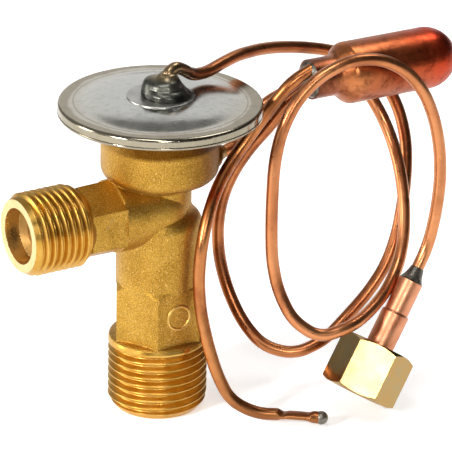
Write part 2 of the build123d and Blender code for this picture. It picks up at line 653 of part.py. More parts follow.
with BuildPart() as reducer_solder:
    with BuildSketch(stub_plane) as reducer_solder_profile:
        with BuildLine():
            Polyline(
                (tube_r, 24.05), (2.36, 24.05), (2.2, 24.35), (1.88, 24.95), (1.62, 25.6),
                (1.44, 26.3), (1.3, 26.9), (tube_r, 27.0), close=True,
            )
        make_face()
    revolve(axis=stub_axis)
reducer_solder.part.label = "reducer_solder"
export_step(reducer_solder.part, "parts/reducer_solder.step")

nut_af = 13.0
nut_length = 10.3
nut_bore_r = 4.4
with BuildPart() as flare_nut:
    with BuildSketch(Plane(origin=nut_base, x_dir=nut_x, z_dir=nut_axis)) as nut_hex:
        RegularPolygon(radius=nut_af / 2, side_count=6, major_radius=False)
    extrude(amount=nut_length)
    # bevelled corners at both ends
    with BuildSketch(stub_plane) as nut_turned:
        with BuildLine():
            Polyline(
                (0, 0), (6.45, 0), (7.6, 0.62), (7.6, nut_length - 0.8), (6.2, nut_length), (0, nut_length),
                close=True,
            )
        make_face()
    revolve(axis=stub_axis, mode=Mode.INTERSECT)
    with BuildSketch(stub_plane) as nut_bore:
        with BuildLine():
            Polyline(
                (0, -1), (5.2, -1), (5.2, 0.0), (nut_bore_r, 0.75), (nut_bore_r, 6.5), (2.83, 8.07),
                (2.83, nut_length - 0.3), (3.15, nut_length + 0.02), (3.15, nut_length + 1), (0, nut_length + 1),
                close=True,
            )
        make_face()
    revolve(axis=stub_axis, mode=Mode.SUBTRACT)
flare_nut.part.label = "flare_nut"
export_step(flare_nut.part, "parts/flare_nut.step")

for name, piece in (
    ("head_gasket", head_gasket), ("head_lower_cover", head_lower_cover), ("diaphragm", diaphragm),
    ("head_upper_cover", head_upper_cover), ("charge_spud", charge_spud), ("head_solder", head_solder),
    ("pressure_plate", pressure_plate), ("push_rod", push_rod), ("valve_ball", valve_ball),
    ("ball_carrier", ball_carrier), ("rod_o_ring", rod_o_ring), ("packing_retainer", packing_retainer),
    ("orifice_seat", orifice_seat), ("spring_seat", spring_seat), ("adjusting_screw", adjusting_screw),
    ("inlet_strainer", inlet_strainer), ("strainer_ring", strainer_ring), ("bulb_neck", bulb_neck),
    ("bulb_shell", bulb_shell), ("bulb_solder", bulb_solder), ("fill_tip_solder", fill_tip_solder),
    ("equalizer_braze", equalizer_braze), ("reducer_stub", reducer_stub),
    ("reducer_solder", reducer_solder), ("flare_nut", flare_nut),
):
    box = piece.part.bounding_box()
    print(f"{name:18s} {piece.part.volume:9.2f} mm3  solids {len(piece.part.solids())} valid {piece.part.is_valid}"
          f"  z {box.min.Z:.2f}..{box.max.Z:.2f}")
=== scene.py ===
import bpy
import bmesh
import math
import random
from mathutils import Matrix, Vector, noise


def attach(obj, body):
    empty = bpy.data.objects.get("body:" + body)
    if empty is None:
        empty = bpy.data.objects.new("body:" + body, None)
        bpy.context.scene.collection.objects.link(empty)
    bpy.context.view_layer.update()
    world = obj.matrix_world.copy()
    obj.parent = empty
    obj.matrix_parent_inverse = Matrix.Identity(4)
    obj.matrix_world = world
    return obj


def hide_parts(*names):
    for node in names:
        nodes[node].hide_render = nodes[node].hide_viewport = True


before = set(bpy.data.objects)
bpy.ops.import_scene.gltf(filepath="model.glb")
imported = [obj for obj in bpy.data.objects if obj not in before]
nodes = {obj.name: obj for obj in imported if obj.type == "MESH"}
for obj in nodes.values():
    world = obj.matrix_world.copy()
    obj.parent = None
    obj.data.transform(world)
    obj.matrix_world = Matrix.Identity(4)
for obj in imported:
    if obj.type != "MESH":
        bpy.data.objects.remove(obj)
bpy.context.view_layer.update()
random.seed(7)
MM = 0.001

# ------------------------------------------------------------------ camera
az, el, roll = math.radians(-31.5713), math.radians(23.4755), math.radians(1.14037)
dist, tx, ty = 0.720198, 0.0126930, 0.0369569
c = Vector((math.sin(az), -math.cos(az), 0))
r = Vector((math.cos(az), math.sin(az), 0))
zup = Vector((0, 0, 1))
toc = c * math.cos(el) + zup * math.sin(el)
up = toc.cross(r)
if up.z < 0:
    up = -up
r2 = r * math.cos(roll) + up * math.sin(roll)
u2 = -r * math.sin(roll) + up * math.cos(roll)
target = r * tx + zup * ty
cam_pos = target + toc * dist
cam_data = bpy.data.cameras.new("camera")
cam_data.sensor_fit = "HORIZONTAL"
cam_data.sensor_width = 36.0
cam_data.lens = 3800.0 / 452.0 * 36.0
cam_data.clip_start = 0.01
cam_data.clip_end = 20
cam = bpy.data.objects.new("camera", cam_data)
bpy.context.scene.collection.objects.link(cam)
cam.matrix_world = Matrix((
    (r2.x, u2.x, toc.x, cam_pos.x), (r2.y, u2.y, toc.y, cam_pos.y),
    (r2.z, u2.z, toc.z, cam_pos.z), (0, 0, 0, 1)))
bpy.context.scene.camera = cam


# ------------------------------------------------------------------ shader helpers
class Mat:
    """Small wrapper that builds one procedural node material."""

    def __init__(self, name):
        self.m = bpy.data.materials.new(name)
        self.m.use_nodes = True
        self.nt = self.m.node_tree
        self.nt.nodes.clear()
        self.out = self.n("ShaderNodeOutputMaterial")
        self.b = self.n("ShaderNodeBsdfPrincipled")
        self.link(self.b.outputs[0], self.out.inputs[0])
        self.tc = self.n("ShaderNodeTexCoord").outputs["Object"]

    def n(self, kind):
        return self.nt.nodes.new(kind)

    def link(self, a, b):
        self.nt.links.new(a, b)

    def set(self, **kw):
        for k, v in kw.items():
            self.b.inputs[k.replace("_", " ")].default_value = v
        return self

    def coords(self, scale=(1, 1, 1), rot=(0, 0, 0), loc=(0, 0, 0)):
        mp = self.n("ShaderNodeMapping")
        mp.inputs["Scale"].default_value = scale
        mp.inputs["Rotation"].default_value = rot
        mp.inputs["Location"].default_value = loc
        self.link(self.tc, mp.inputs["Vector"])
        return mp.outputs[0]

    def noise(self, scale, detail=3.0, rough=0.55, vec=None, distort=0.0):
        t = self.n("ShaderNodeTexNoise")
        t.inputs["Scale"].default_value = scale
        t.inputs["Detail"].default_value = detail
        t.inputs["Roughness"].default_value = rough
        t.inputs["Distortion"].default_value = distort
        self.link(vec or self.tc, t.inputs["Vector"])
        return t.outputs["Fac"]

    def voronoi(self, scale, vec=None, feature="F1"):
        t = self.n("ShaderNodeTexVoronoi")
        t.feature = feature
        t.inputs["Scale"].default_value = scale
        self.link(vec or self.tc, t.inputs["Vector"])
        return t.outputs["Distance"]

    def ramp(self, fac, stops, interp="LINEAR"):
        t = self.n("ShaderNodeValToRGB")
        t.color_ramp.interpolation = interp
        e = t.color_ramp.elements
        while len(e) < len(stops):
            e.new(0.5)
        for i, (p, col) in enumerate(stops):
            e[i].position = p
            if isinstance(col, (int, float)):
                col = (col, col, col)
            e[i].color = (*col, 1)
        self.link(fac, t.inputs[0])
        return t.outputs[0]

    def mix(self, fac, a, b, mode="MIX"):
        t = self.n("ShaderNodeMix")
        t.data_type = "RGBA"
        t.blend_type = mode
        for sock, val in ((t.inputs[0], fac), (t.inputs[6], a), (t.inputs[7], b)):
            if isinstance(val, (int, float)):
                sock.default_value = val if sock == t.inputs[0] else (val, val, val, 1)
            elif isinstance(val, tuple):
                sock.default_value = (*val, 1)
            else:
                self.link(val, sock)
        return t.outputs[2]

    def math(self, op, a, b=0.0, clamp=False):
        t = self.n("ShaderNodeMath")
        t.operation = op
        t.use_clamp = clamp
        for sock, val in ((t.inputs[0], a), (t.inputs[1], b)):
            if isinstance(val, (int, float)):
                sock.default_value = val
            else:
                self.link(val, sock)
        return t.outputs[0]

    def axis(self, name):
        s = self.n("ShaderNodeSeparateXYZ")
        self.link(self.tc, s.inputs[0])
        return s.outputs[name]

    def color(self, sock):
        self.link(sock, self.b.inputs["Base Color"])

    def rough(self, sock):
        self.link(sock, self.b.inputs["Roughness"])

    def bump(self, height, dist, strength=1.0, bevel=0.0):
        t = self.n("ShaderNodeBump")
        t.inputs["Distance"].default_value = dist
        t.inputs["Strength"].default_value = strength
        self.link(height, t.inputs["Height"])
        if bevel:
            bv = self.n("ShaderNodeBevel")
            bv.samples = 4
            bv.inputs["Radius"].default_value = bevel
            self.link(bv.outputs[0], t.inputs["Normal"])
        self.link(t.outputs[0], self.b.inputs["Normal"])
        return t

    def worn_edges(self, radius=0.0006, gain=6.0):
        g = self.n("ShaderNodeNewGeometry")
        return self.ramp(g.outputs["Pointiness"], [(0.50, 0.0), (0.50 + 0.5 / gain, 1.0)])


# sand-blasted forging: fine sparkle over slow tarnish, with painted shadow and painted shade on the collar
def make_forged():
    m = Mat("brass_forged_blasted").set(Metallic=1.0)
    slow = m.noise(160, 4, 0.6)
    grain = m.noise(5200, 2, 0.7)
    spark = m.noise(3600, 1.0, 0.5)
    base = m.ramp(slow, [(0.30, (0.42, 0.222, 0.031)), (0.52, (0.52, 0.287, 0.045)), (0.72, (0.60, 0.350, 0.064))])
    dark = m.ramp(grain, [(0.34, 0.40), (0.50, 0.90), (0.66, 1.25)])
    col = m.mix(0.85, base, dark, "MULTIPLY")
    hot = m.ramp(spark, [(0.60, 0.0), (0.72, 0.5)])
    col = m.mix(hot, col, (0.90, 0.62, 0.22))
    stain = m.ramp(m.noise(340, 4, 0.6, m.coords((1, 1, 0.45), loc=(0.7, 0.2, 0.1))), [(0.66, 0.0), (0.76, 0.45)])
    col = m.mix(stain, col, (0.30, 0.27, 0.17))
    # painted shadow of the head's disc: the top of the collar, above about 54 mm, darkened, weaker on the left towards
    # the key light
    side = m.math("ADD", m.math("MULTIPLY", m.axis("X"), 0.852 * 40), m.math("MULTIPLY", m.axis("Y"), -0.524 * 40))
    wob = m.math("MULTIPLY", m.math("SUBTRACT", slow, 0.5), 0.25)
    tall = m.math("ADD", m.math("MULTIPLY", m.math("SUBTRACT", m.axis("Z"), 0.0525), 250.0), wob)
    painted_disc_shadow = m.math("MULTIPLY", m.ramp(tall, [(0.40, 0.0), (0.62, 1.0)]), m.ramp(m.math("ADD", side, 0.5), [(0.08, 0.25), (0.34, 1.0)]))
    col = m.mix(painted_disc_shadow, col, m.mix(1.0, col, (0.27, 0.19, 0.11), "MULTIPLY"))
    # painted shade: the collar and neck on the right, away from the key light, darkened from about 45 mm up
    painted_right_shade = m.math("MULTIPLY", m.ramp(m.math("ADD", side, 0.5), [(0.66, 0.0), (0.86, 0.8)]), m.ramp(m.math("MULTIPLY", m.math("SUBTRACT", m.axis("Z"), 0.044), 125.0), [(0.1, 0.0), (0.5, 1.0)]))
    col = m.mix(painted_right_shade, col, m.mix(1.0, col, (0.34, 0.23, 0.14), "MULTIPLY"))
    m.color(col)
    m.rough(m.ramp(grain, [(0.3, 0.50), (0.7, 0.34)]))
    h = m.math("ADD", m.math("MULTIPLY", grain, 1.0), m.math("MULTIPLY", m.noise(1500, 3, 0.6), 1.0))
    m.bump(h, 0.00008, 0.7, bevel=0.00028)
    return m.m


def make_machined(name, base, hi, rough=(0.16, 0.34), fine=9000, bevel=0.0001, spots=0.6):
    m = Mat(name).set(Metallic=1.0)
    slow = m.noise(300, 4, 0.6)
    turned = m.noise(fine, 2, 0.5, m.coords((1, 1, 0.25)))
    col = m.mix(m.ramp(slow, [(0.35, 0.0), (0.7, 1.0)]), base, hi)
    spot = m.ramp(m.noise(900, 4, 0.65), [(0.28, (0.62, 0.55, 0.45)), (0.42, (1, 1, 1))])
    m.color(m.mix(spots, col, spot, "MULTIPLY"))
    m.rough(m.ramp(m.noise(500, 3, 0.6), [(0.3, rough[0]), (0.7, rough[1])]))
    m.bump(turned, 0.000004, 0.4, bevel=bevel)
    return m.m


def make_cover():
    m = Mat("steel_cover_bright").set(Metallic=1.0)
    x, y, z = m.axis("X"), m.axis("Y"), m.axis("Z")
    rad = m.math("SQRT", m.math("ADD", m.math("MULTIPLY", x, x), m.math("MULTIPLY", y, y)))
    slow = m.noise(90, 4, 0.55)
    # colour by radius: grey centre, a tan tint at the welded rim, then darker brown on the rolled skirt as painted
    # shade for its dark reflection
    rim_tint_and_painted_shade = m.ramp(m.math("ADD", m.math("MULTIPLY", rad, 50.0), m.math("MULTIPLY", slow, 0.16)),
                  [(0.60, (0.54, 0.54, 0.51)), (0.80, (0.56, 0.55, 0.50)), (0.93, (0.54, 0.50, 0.42)), (0.955, (0.34, 0.30, 0.22))])
    line = m.ramp(m.math("MULTIPLY", rad, 50.0), [(0.805, (1, 1, 1)), (0.818, (0.62, 0.60, 0.55)), (0.830, (1, 1, 1))])
    rim_tint_and_painted_shade = m.mix(1.0, rim_tint_and_painted_shade, line, "MULTIPLY")
    smut = m.ramp(m.noise(700, 5, 0.7), [(0.32, (0.70, 0.69, 0.66)), (0.5, (1, 1, 1))])
    m.color(m.mix(0.55, rim_tint_and_painted_shade, smut, "MULTIPLY"))
    rings = m.n("ShaderNodeTexNoise")
    comb = m.n("ShaderNodeCombineXYZ")
    m.link(m.math("MULTIPLY", rad, 1.0), comb.inputs[0])
    m.link(comb.outputs[0], rings.inputs["Vector"])
    rings.inputs["Scale"].default_value = 3200
    rings.inputs["Detail"].default_value = 3
    m.rough(m.ramp(m.noise(260, 4, 0.65), [(0.3, 0.10), (0.7, 0.24)]))
    h = m.math("ADD", m.math("MULTIPLY", rings.outputs["Fac"], 0.25), m.noise(45, 2, 0.4))
    m.bump(h, 0.0001, 0.3, bevel=0.0002)
    return m.m


def make_copper(name, bright, mid, dark, red, rough=(0.24, 0.38), spot_scale=70, red_lo=0.60, root=False, end=False):
    m = Mat(name).set(Metallic=1.0)
    slow = m.noise(spot_scale, 4, 0.6, distort=0.6)
    col = m.ramp(slow, [(0.32, dark), (0.44, mid), (0.58, bright)])
    redf = m.ramp(m.noise(spot_scale * 0.8, 3, 0.5, m.coords(loc=(0.3, 0.1, 0.7))), [(red_lo, 0.0), (red_lo + 0.12, 0.85)])
    col = m.mix(redf, col, red)
    if root:
        near = m.ramp(m.math("MULTIPLY", m.axis("X"), 100.0), [(0.34, 1.0), (0.80, 0.0)])
        col = m.mix(near, col, (0.36, 0.25, 0.135))
    if end:
        near = m.ramp(m.math("MULTIPLY", m.axis("Z"), 40.0), [(0.10, 0.75), (0.52, 0.0)])
        col = m.mix(near, col, m.mix(1.0, col, (0.50, 0.52, 0.55), "MULTIPLY"))
    fine = m.noise(2600, 3, 0.6)
    spots = m.ramp(m.noise(1500, 4, 0.7), [(0.24, (0.55, 0.46, 0.42)), (0.40, (1, 1, 1)), (0.62, (1, 1, 1)), (0.74, (1.15, 1.1, 1.08))])
    m.color(m.mix(0.6, col, spots, "MULTIPLY"))
    m.rough(m.ramp(m.noise(420, 4, 0.65), [(0.3, rough[0]), (0.7, rough[1])]))
    m.bump(m.math("ADD", m.math("MULTIPLY", fine, 0.4), m.noise(420, 3, 0.6)), 0.00004, 0.5)
    return m


def make_bulb():
    m = Mat("copper_bulb_tinted").set(Metallic=1.0)
    x, z = m.axis("X"), m.axis("Z")
    slow = m.noise(110, 4, 0.6, distort=0.8)
    along = m.math("ADD", m.math("MULTIPLY", m.math("SUBTRACT", x, 0.0287), 1.0 / 0.0323), m.math("MULTIPLY", m.math("SUBTRACT", slow, 0.5), 0.22))
    base = m.ramp(along, [(0.02, (0.20, 0.06, 0.026)), (0.13, (0.31, 0.096, 0.040)), (0.22, (0.52, 0.180, 0.062)), (0.31, (0.40, 0.118, 0.042)),
                          (0.50, (0.40, 0.100, 0.035)), (0.62, (0.42, 0.090, 0.030)), (0.80, (0.52, 0.052, 0.018)), (0.97, (0.38, 0.038, 0.014))])
    low = m.ramp(m.math("MULTIPLY", m.math("SUBTRACT", z, 0.0572), 80.0), [(0.05, 0.5), (0.55, 0.0)])
    base = m.mix(low, base, (0.44, 0.17, 0.10))
    mott = m.ramp(m.noise(420, 6, 0.75, distort=0.5), [(0.33, (0.42, 0.36, 0.34)), (0.50, (1, 1, 1)), (0.70, (1.2, 1.12, 1.05))])
    m.color(m.mix(0.9, base, mott, "MULTIPLY"))
    m.rough(m.ramp(m.noise(300, 4, 0.65), [(0.3, 0.26), (0.7, 0.44)]))
    lines = m.noise(2200, 2, 0.5, m.coords((0.06, 1, 1)))
    m.bump(m.math("ADD", m.math("MULTIPLY", lines, 0.4), m.noise(350, 4, 0.6)), 0.00010, 0.5)
    return m.m


def make_solder(name, a, b, bump=0.00035, scale=520, rough=(0.22, 0.5)):
    m = Mat(name).set(Metallic=0.85)
    f = m.noise(scale, 4, 0.6)
    m.color(m.ramp(f, [(0.35, a), (0.62, b)]))
    m.rough(m.ramp(m.noise(1200, 3, 0.6), [(0.3, rough[0]), (0.7, rough[1])]))
    m.bump(m.noise(scale * 0.8, 3, 0.6), bump, 0.8)
    return m.m


def make_head_solder():
    m = Mat("solder_head_dull").set(Metallic=0.9)
    f = m.noise(420, 4, 0.6)
    low = m.ramp(f, [(0.35, (0.030, 0.032, 0.027)), (0.65, (0.085, 0.085, 0.072))])
    high = m.ramp(f, [(0.35, (0.20, 0.145, 0.075)), (0.65, (0.34, 0.26, 0.15))])
    mid = m.ramp(f, [(0.35, (0.060, 0.062, 0.052)), (0.65, (0.17, 0.165, 0.135))])
    z = m.math("MULTIPLY", m.math("SUBTRACT", m.axis("Z"), 0.0634), 200.0)
    col = m.mix(m.ramp(z, [(0.20, 0.0), (0.42, 1.0)]), low, mid)
    m.color(m.mix(m.ramp(z, [(0.62, 0.0), (0.80, 1.0)]), col, high))
    m.rough(m.ramp(m.noise(900, 3, 0.6), [(0.3, 0.24), (0.7, 0.40)]))
    m.bump(m.noise(500, 3, 0.6), 0.00004, 0.6)
    return m.m


def make_plain(name, col, rough, metallic, scale=900, bump=0.00002):
    m = Mat(name).set(Metallic=metallic)
    f = m.noise(scale, 4, 0.6)
    m.color(m.ramp(f, [(0.3, tuple(v * 0.72 for v in col)), (0.7, tuple(min(1, v * 1.15) for v in col))]))
    m.rough(m.ramp(m.noise(scale * 2, 2, 0.5), [(0.3, rough * 0.8), (0.7, min(1, rough * 1.25))]))
    m.bump(f, bump, 0.6)
    return m.m


forged = make_forged()
thread_brass = make_machined("brass_thread_cut", (0.54, 0.285, 0.042), (0.68, 0.41, 0.100), (0.26, 0.38), spots=0.35)
nut_brass = make_machined("brass_nut_milled", (0.44, 0.26, 0.072), (0.37, 0.275, 0.125), (0.13, 0.20), bevel=0.00012, spots=0.08)
turned_brass = make_machined("brass_turned", (0.78, 0.56, 0.24), (0.88, 0.68, 0.34), (0.24, 0.34), bevel=0.00015, spots=0.3)
ring_brass = make_machined("brass_ring_dull", (0.27, 0.145, 0.042), (0.40, 0.23, 0.075), (0.46, 0.60), bevel=0.00015)
mark_brass = make_machined("brass_mark_worn", (0.60, 0.37, 0.085), (0.74, 0.48, 0.15), (0.32, 0.42), spots=0.4)
spud_tin = make_plain("tinned_spud", (0.50, 0.49, 0.455), 0.36, 1.0, scale=420, bump=0.00004)
cover = make_cover()
copper_tube = make_copper("copper_tube_drawn", (0.52, 0.20, 0.076), (0.40, 0.138, 0.052), (0.20, 0.074, 0.034), (0.36, 0.066, 0.03), root=True)
copper_fill = make_copper("copper_fill_oxidised", (0.54, 0.22, 0.076), (0.42, 0.150, 0.050), (0.20, 0.078, 0.032), (0.40, 0.068, 0.028), spot_scale=95, red_lo=0.56, end=True)
copper_front = make_copper("copper_front_drawn", (0.64, 0.26, 0.108), (0.54, 0.20, 0.078), (0.34, 0.115, 0.047), (0.48, 0.11, 0.050), red_lo=0.66)
stub = make_copper("copper_stub_bright", (0.72, 0.32, 0.175), (0.65, 0.27, 0.14), (0.50, 0.18, 0.085), (0.50, 0.095, 0.045), rough=(0.34, 0.44), spot_scale=160, red_lo=0.62)
bulb = make_bulb()
solder_head = make_head_solder()
solder_grey = make_solder("solder_grey", (0.06, 0.057, 0.047), (0.22, 0.20, 0.165), scale=900, bump=0.00008)
braze = make_solder("braze_bead", (0.16, 0.10, 0.035), (0.42, 0.28, 0.10), scale=900, bump=0.00015)
steel = make_plain("steel_ground", (0.52, 0.52, 0.50), 0.28, 1.0)
spring_mat = make_plain("spring_wire_steel", (0.20, 0.20, 0.21), 0.34, 1.0)
mesh_mat = make_plain("strainer_steel", (0.42, 0.41, 0.38), 0.35, 1.0)
rubber = make_plain("seal_rubber_black", (0.018, 0.018, 0.018), 0.62, 0.0)

for name, material in {
    "head_lower_cover": cover, "head_upper_cover": cover, "charge_spud": spud_tin, "head_solder": solder_head,
    "capillary_tube": copper_tube.m, "equalizer_tube": copper_front.m, "fill_tube": copper_fill.m,
    "bulb_neck": bulb, "bulb_shell": bulb, "bulb_solder": solder_grey, "fill_tip_solder": solder_grey,
    "reducer_solder": solder_grey, "equalizer_braze": braze, "reducer_stub": stub.m, "flare_nut": nut_brass,
    "spring_seat": turned_brass, "adjusting_screw": turned_brass, "packing_retainer": turned_brass,
    "diaphragm": steel, "pressure_plate": steel, "push_rod": steel, "orifice_seat": steel, "valve_ball": steel,
    "ball_carrier": steel, "superheat_spring": spring_mat, "inlet_strainer": mesh_mat, "strainer_ring": ring_brass,
    "rod_o_ring": rubber, "head_gasket": rubber, "valve_body": forged,
}.items():
    o = nodes[name]
    if not o.material_slots:
        o.data.materials.append(material)
    for s in o.material_slots:
        s.material = material


# ------------------------------------------------------------------ mesh helpers
def add_object(name, bm, material, angle=35.0):
    me = bpy.data.meshes.new(name)
    bm.to_mesh(me)
    bm.free()
    for p in me.polygons:
        p.use_smooth = True
    me.set_sharp_from_angle(angle=math.radians(angle))
    ob = bpy.data.objects.new(name, me)
    bpy.context.scene.collection.objects.link(ob)
    me.materials.append(material)
    return ob


def envelope(points, x):
    for (x0, y0), (x1, y1) in zip(points, points[1:]):
        if x <= x1:
            return y0 + (y1 - y0) * (x - x0) / (x1 - x0) if x1 > x0 else y1
    return points[-1][1]


def thread_mesh(major, pitch, points, phase_z, phase_angle, frame_matrix, fade_end, columns=112, internal=False, depth_share=0.6134):
    """Helical V thread between the first and last x of the profile 'points' (x along the axis, radius), in mm."""
    depth = depth_share * pitch
    offs = [-0.5, -0.44, -0.40, -0.34, -0.25, -0.16, -0.10, -0.065, 0.0, 0.065, 0.10, 0.16, 0.25, 0.34, 0.40, 0.44]
    m = len(offs)
    z0, z1 = points[0][0], points[-1][0]
    k0 = int(math.floor((z0 - phase_z) / pitch)) - 3
    k1 = int(math.ceil((z1 - phase_z) / pitch)) + 3
    rows = [(k + o) for k in range(k0, k1) for o in offs]
    bm = bmesh.new()
    grid = []
    for i in range(columns):
        a = 2 * math.pi * i / columns
        col = []
        for row in rows:
            z = phase_z + pitch * (row + a / (2 * math.pi))
            z = min(max(z, z0), z1)
            t = (z - phase_z) / pitch - a / (2 * math.pi)
            t = t - round(t)
            h = min(1.0, max(0.0, (0.43 - abs(t)) / 0.36))
            h = h * h * (3 - 2 * h) * 0.25 + h * 0.75
            nick = noise.noise(Vector((math.cos(a) * 3, math.sin(a) * 3, z * 0.9))) * 0.004
            keep = 1.0
            if fade_end:
                keep = min(1.0, max(0.0, (z1 - z) / fade_end))
            if internal:
                rr = major - depth + depth * (1 - h) * keep
                rr = max(rr + nick * 0.5, envelope(points, z))
            else:
                rr = major - depth * (1 - h) * keep
                rr = min(rr + (nick if h > 0.5 and z0 + 0.3 < z < z1 - 0.3 else 0.0), envelope(points, z))
            ang = a + phase_angle
            col.append(bm.verts.new(frame_matrix @ Vector((rr * math.cos(ang) * MM, rr * math.sin(ang) * MM, z * MM))))
        grid.append(col)
    n = len(rows)
    for i in range(columns):
        for j in range(n - 1):
            if i < columns - 1:
                q = (grid[i][j], grid[i + 1][j], grid[i + 1][j + 1], grid[i][j + 1])
            else:
                if j + m + 1 >= n:
                    continue
                q = (grid[i][j], grid[0][j + m], grid[0][j + m + 1], grid[i][j + 1])
            if internal:
                q = q[::-1]
            try:
                bm.faces.new(q)
            except ValueError:
                pass
    bmesh.ops.remove_doubles(bm, verts=bm.verts, dist=1.5e-6)
    bmesh.ops.dissolve_degenerate(bm, edges=bm.edges, dist=1e-6)
    loose = [v for v in bm.verts if not v.link_faces]
    bmesh.ops.delete(bm, geom=loose, context="VERTS")
    return bm


def copy_without(node, drop, name, material, angle=35.0, change=None):
    """A copy of a CAD node's mesh with some faces left out."""
    me = nodes[node].data.copy()
    me.name = name
    bm = bmesh.new()
    bm.from_mesh(me)
    gone = [f for f in bm.faces if drop(f.calc_center_median() / MM, f.normal)]
    bmesh.ops.delete(bm, geom=gone, context="FACES")
    if change:
        change(bm)
    bm.to_mesh(me)
    bm.free()
    me.materials.clear()
    me.materials.append(material)
    for p in me.polygons:
        p.material_index = 0
    print(name, "custom normals", me.has_custom_normals, len(me.polygons))
    ob = bpy.data.objects.new(name, me)
    bpy.context.scene.collection.objects.link(ob)
    return ob


# ------------------------------------------------------------------ valve body with cut threads
inlet_z = 40.9
outlet_env = [(0.0, 8.2), (1.75, 9.525), (13.9, 9.525)]
inlet_env = [(-30.2, 6.95), (-28.6, 7.9375), (-19.2, 7.9375), (-18.05, 7.0)]


def in_threads(p, nrm):
    rad = math.hypot(p.x, p.y)
    if 0.02 < p.z < 13.9 and rad > 8.0:
        return True
    rad = math.hypot(p.y, p.z - inlet_z)
    return -30.15 < p.x < -18.05 and rad > 6.7


body_skin = copy_without("valve_body", in_threads, "valve_body_forging", forged, 28.0)
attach(body_skin, "valve")
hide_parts("valve_body")

facing = math.atan2(c.y, c.x)
bm = thread_mesh(9.525, 1.5875, outlet_env, 2.52, facing, Matrix.Identity(4), 1.1)
outlet_skin = add_object("outlet_thread_skin", bm, thread_brass, 50.0)
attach(outlet_skin, "valve")

# inlet axis runs along X; local z of the thread maps to world X
inlet_frame = Matrix(((0, 0, 1, 0), (1, 0, 0, 0), (0, 1, 0, inlet_z * MM), (0, 0, 0, 1)))
bm = thread_mesh(7.9375, 1.411, inlet_env, -28.0, math.radians(180), inlet_frame, 0.0)
inlet_skin = add_object("inlet_thread_skin", bm, thread_brass, 50.0)
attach(inlet_skin, "valve")

# machined faces at the two ports keep a turned finish
body_skin.data.materials.append(thread_brass)
body_skin.data.materials.append(turned_brass)
body_skin.data.materials.append(ring_brass)
for p in body_skin.data.polygons:
    q = p.center / MM
    if (q.z < 14.4 and math.hypot(q.x, q.y) < 9.6) or (q.x < -18.05 and math.hypot(q.y, q.z - inlet_z) < 8.0):
        deep = q.x > -29.9 and p.normal.x < -0.5 and math.hypot(q.y, q.z - inlet_z) < 5.3
        p.material_index = 3 if q.x < -18.05 and deep else 2 if q.x < -18.05 and (math.hypot(q.y, q.z - inlet_z) < 6.4 or q.x < -30.0) else 1

# plain raised ring in place of the forged mark on the hexagon flat
bm = bmesh.new()
major_seg, minor_seg = 72, 12
ring_r, ring_w = 2.35, 0.34
rings = []
for i in range(major_seg):
    a = 2 * math.pi * i / major_seg
    row = []
    for j in range(minor_seg):
        b = 2 * math.pi * j / minor_seg
        rr = ring_r + ring_w * math.cos(b)
        row.append(bm.verts.new(Vector((rr * math.cos(a), -7.90 - 0.30 * math.sin(b), 20.7 + rr * math.sin(a))) * MM))
    rings.append(row)
for i in range(major_seg):
    for j in range(minor_seg):
        a, b = rings[i], rings[(i + 1) % major_seg]
        bm.faces.new((a[j], b[j], b[(j + 1) % minor_seg], a[(j + 1) % minor_seg]))
bmesh.ops.recalc_face_normals(bm, faces=bm.faces)
mark = add_object("hex_plain_ring", bm, mark_brass, 60.0)
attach(mark, "valve")

# ------------------------------------------------------------------ flare nut with its internal thread
nut_base = Vector((30.4346, -23.6980, 4.2433))
nut_axis = Vector((0.568137, 0.121791, 0.813871)).normalized()
side = nut_axis.cross(Vector((0, 0, 1))).normalized()
other = nut_axis.cross(side).normalized()
nut_frame = Matrix((
    (side.x, other.x, nut_axis.x, nut_base.x * MM), (side.y, other.y, nut_axis.y, nut_base.y * MM),
    (side.z, other.z, nut_axis.z, nut_base.z * MM), (0, 0, 0, 1)))


def in_nut_bore(p, nrm):
    d = p - nut_base
    t = d.dot(nut_axis)
    rad = (d - nut_axis * t).length
    return 0.76 < t < 6.49 and rad < 4.6


nut_skin = copy_without("flare_nut", in_nut_bore, "flare_nut_skin", nut_brass, 30.0)
bm = thread_mesh(4.4 + 0.62, 1.0583, [(0.75, 4.4), (6.5, 4.4)], 1.0, 0.0, nut_frame, 0.9, columns=72, internal=True, depth_share=0.585)
nut_thread = add_object("flare_nut_thread", bm, nut_brass, 50.0)
for o in (nut_skin, nut_thread):
    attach(o, "nut")
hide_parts("flare_nut")


# ------------------------------------------------------------------ charging tube with its pinched end
tip = Vector((21.539, -25.294, 1.957))
tip_dir = Vector((21.43 - 17.01, -25.29 + 21.22, 1.97 - 1.96)).normalized()
flat_n = tip_dir.cross(Vector((0, 0, 1))).normalized()


def pinch(bm):
    for v in bm.verts:
        p = v.co / MM
        d = p - tip
        t = -d.dot(tip_dir)
        if t > 9.5 or t < -3.0:
            continue
        if (p - (tip - tip_dir * t)).length > 3.0:
            continue
        centre = tip - tip_dir * t
        off = p - centre
        s = min(1.0, max(0.0, (t - 1.4) / 1.4)) * min(1.0, max(0.0, (8.6 - t) / 1.6))
        s = s * s * (3 - 2 * s)
        notch = math.exp(-((t - 7.3) / 0.55) ** 2)
        vert = off.z
        off = off * 1.0
        off.z = vert * (1 - 0.46 * s)
        lat = off.dot(flat_n)
        off += flat_n * lat * 0.26 * s
        if off.z > 0:
            off.z *= 1 - 0.55 * notch
        v.co = (centre + off) * MM


# the charging end of the fill tube, crimped flat before its tip
bm = bmesh.new()
bm.from_mesh(nodes["fill_tube"].data)
bmesh.ops.remove_doubles(bm, verts=bm.verts, dist=1e-7)
for i in range(24):
    near = [f for f in bm.faces if all((v.co / MM - tip).length < 11.0 for v in f.verts)]
    geom = near + list({e for f in near for e in f.edges}) + list({v for f in near for v in f.verts})
    bmesh.ops.bisect_plane(bm, geom=geom, plane_co=(tip - tip_dir * (0.6 + 0.38 * i)) * MM, plane_no=tip_dir, dist=1e-8)
pinch(bm)
crimped = add_object("fill_tube_crimped", bm, copper_fill.m, 40.0)
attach(crimped, "valve")
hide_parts("fill_tube")

